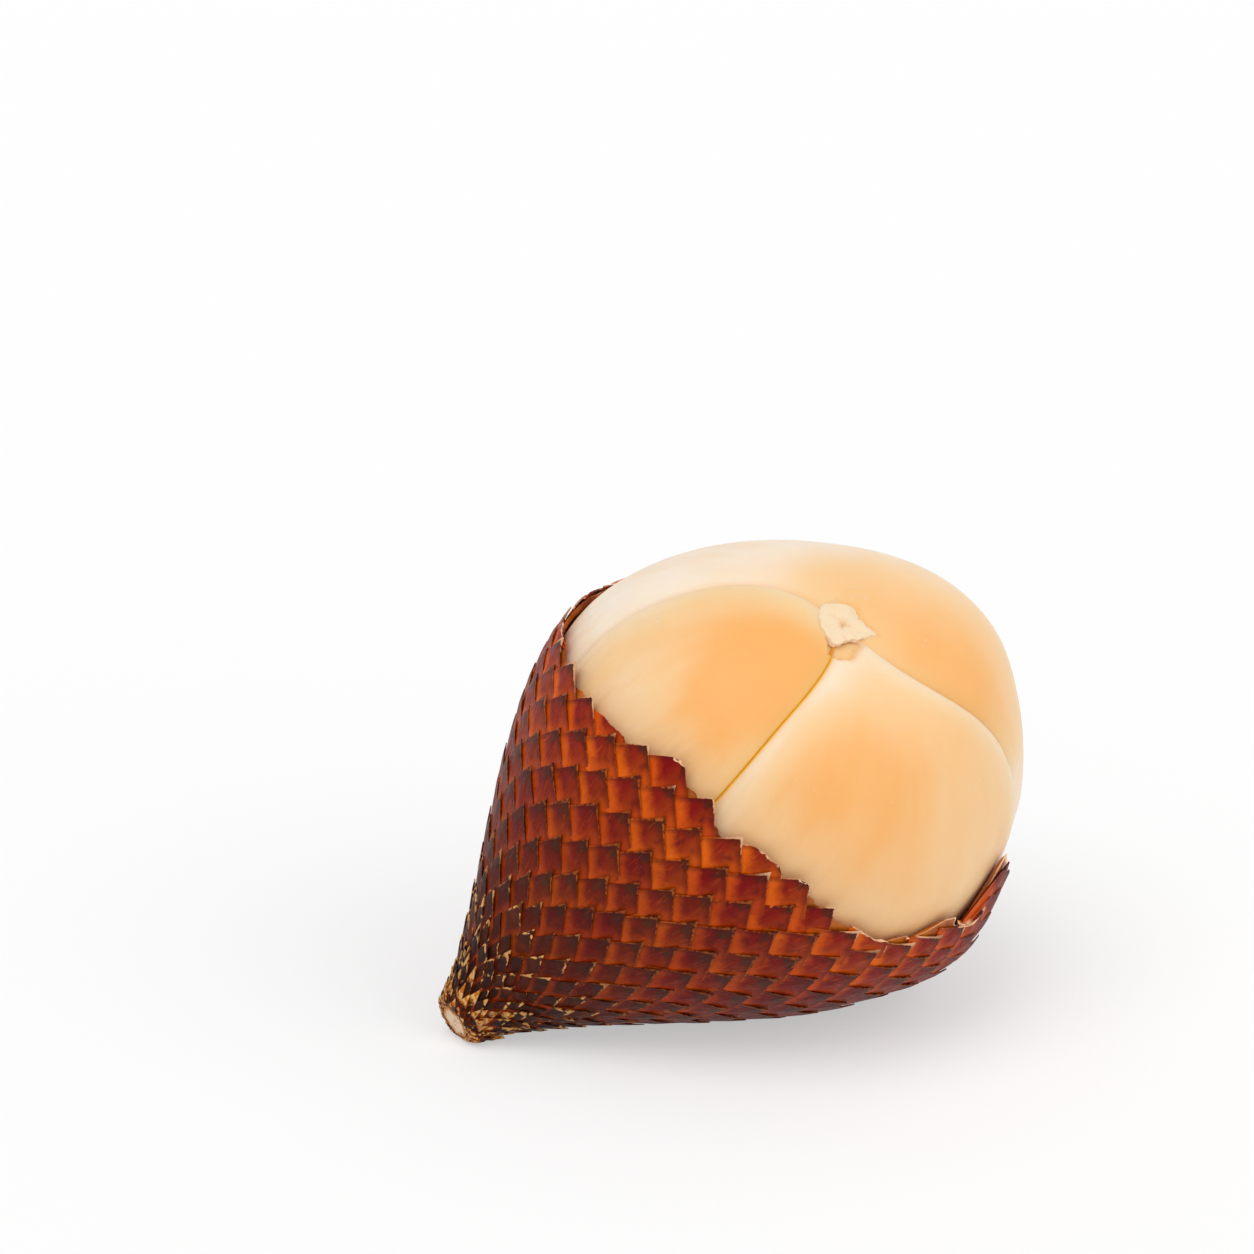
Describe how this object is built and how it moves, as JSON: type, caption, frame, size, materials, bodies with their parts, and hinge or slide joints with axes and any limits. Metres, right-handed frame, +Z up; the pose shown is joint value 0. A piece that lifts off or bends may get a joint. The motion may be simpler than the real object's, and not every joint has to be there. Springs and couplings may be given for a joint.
{
  "type": "half-peeled snake fruit",
  "caption": "Salak fruit lying on its side, its scaly skin torn into a pointed cup round smooth lobes of pale flesh.",
  "frame": {"origin": "middle of the flat resting spot under the belly, on the surface that the fruit lies on", "axes": "+Z up; +X level, from the stem end towards the round end; +Y level, away from the side on which the lobes' meeting point leans"},
  "size_m": [0.0634, 0.052, 0.0492],
  "materials": {
    "scaly_skin": "waxy overlapping scales, red-brown with orange bases and dark tips",
    "flesh": "smooth, waxy and slightly translucent, cream to pale orange",
    "pad_tissue": "pale dry tissue, slightly ragged"
  },
  "bodies": {
    "root": {"skin": "scaly_skin", "flesh_lobe_left": "flesh", "flesh_lobe_right": "flesh", "flesh_lobe_rear": "flesh", "apex_pad": "pad_tissue"}
  },
  "joints": []
}
